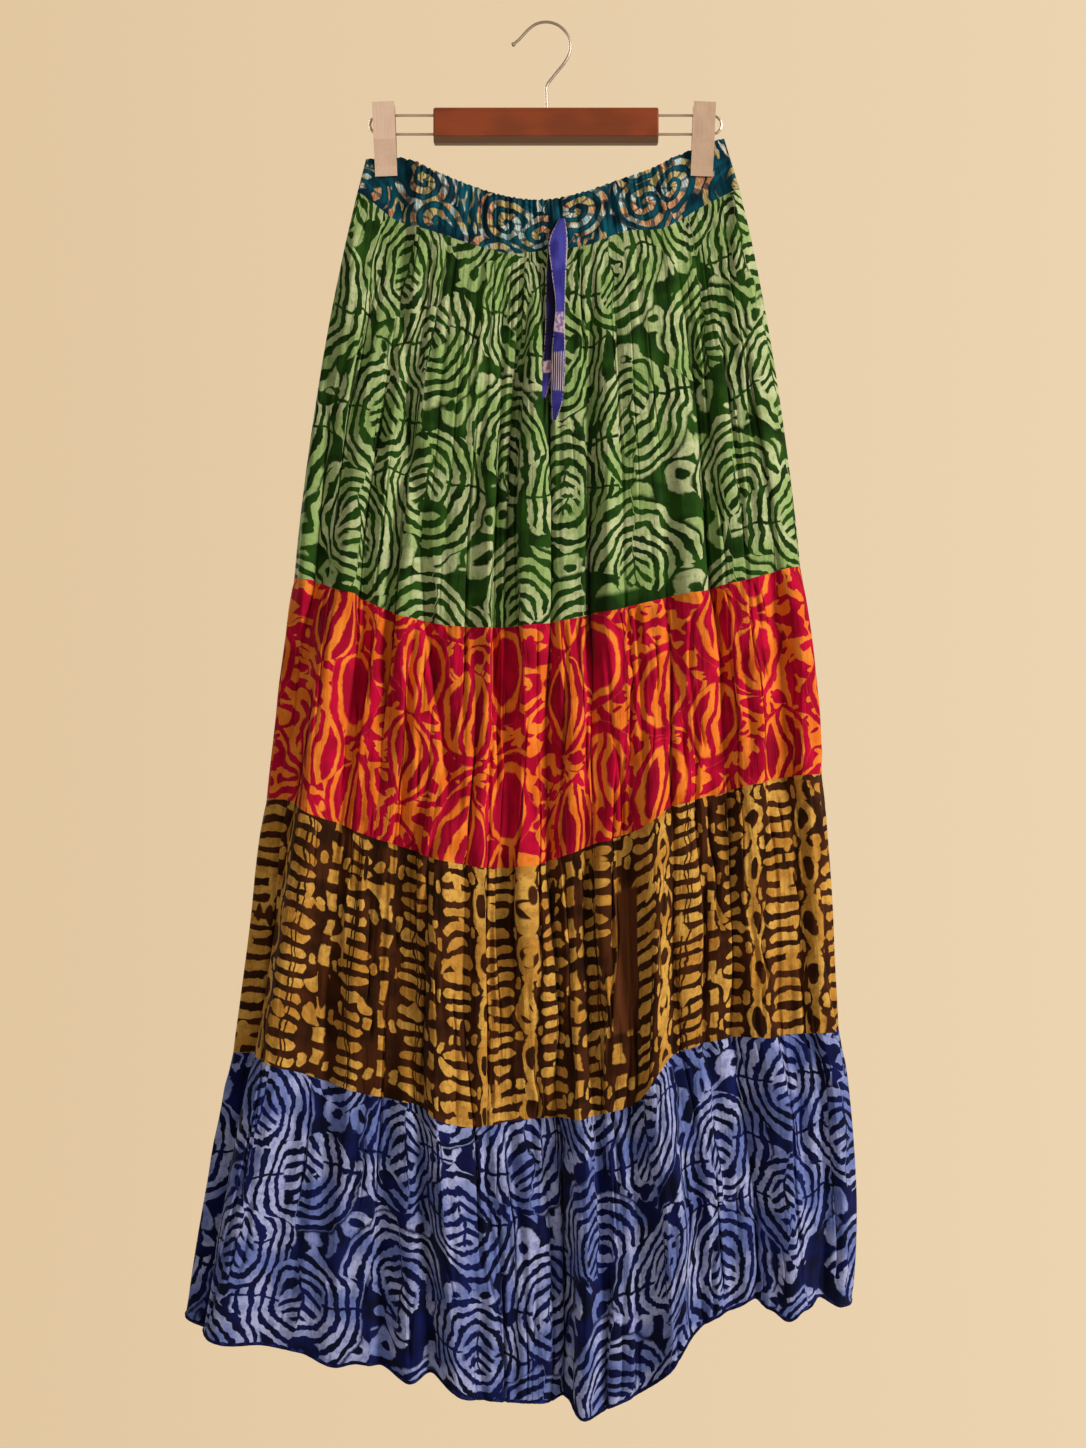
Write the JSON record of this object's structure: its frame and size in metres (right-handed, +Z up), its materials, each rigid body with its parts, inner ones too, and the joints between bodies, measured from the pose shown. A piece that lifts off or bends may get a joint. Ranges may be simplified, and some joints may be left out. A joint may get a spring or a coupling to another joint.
{
  "type": "tiered maxi skirt on a clip hanger",
  "caption": "Ankle-length gathered skirt in stacked tiers of printed cloth, with an elastic band and drawstring, clipped to a wooden skirt hanger.",
  "frame": {"origin": "inner top of the hook's curl, where the hanger rests on a rod or wall hook", "axes": "+Z up; the skirt's front faces -Y; +X is to the right of someone who looks at the front"},
  "size_m": [0.5751, 0.1257, 1.1844],
  "materials": {
    "band_cloth": "matt",
    "green_cloth": "matt",
    "red_cloth": "matt",
    "brown_cloth": "matt",
    "blue_cloth": "matt",
    "tie_cloth": "matt",
    "wood": "satin",
    "steel": "polished",
    "nickel": "satin"
  },
  "bodies": {
    "root": {"waistband_front": "band_cloth", "waistband_back": "band_cloth", "tier_1_front": "green_cloth", "tier_1_back": "green_cloth", "tier_2_front": "red_cloth", "tier_2_back": "red_cloth", "tier_3_front": "brown_cloth", "tier_3_back": "brown_cloth", "tier_4_front": "blue_cloth", "tier_4_back": "blue_cloth", "tie_long": "tie_cloth", "tie_short": "tie_cloth", "hanger_hook": "steel", "hanger_bar": "wood", "wire_left": "steel", "clip_left_front": "nickel", "clip_left_back": "nickel", "clip_left_barrel": "nickel", "wire_right": "steel", "clip_right_front": "nickel", "clip_right_back": "nickel", "clip_right_barrel": "nickel"}
  },
  "joints": []
}
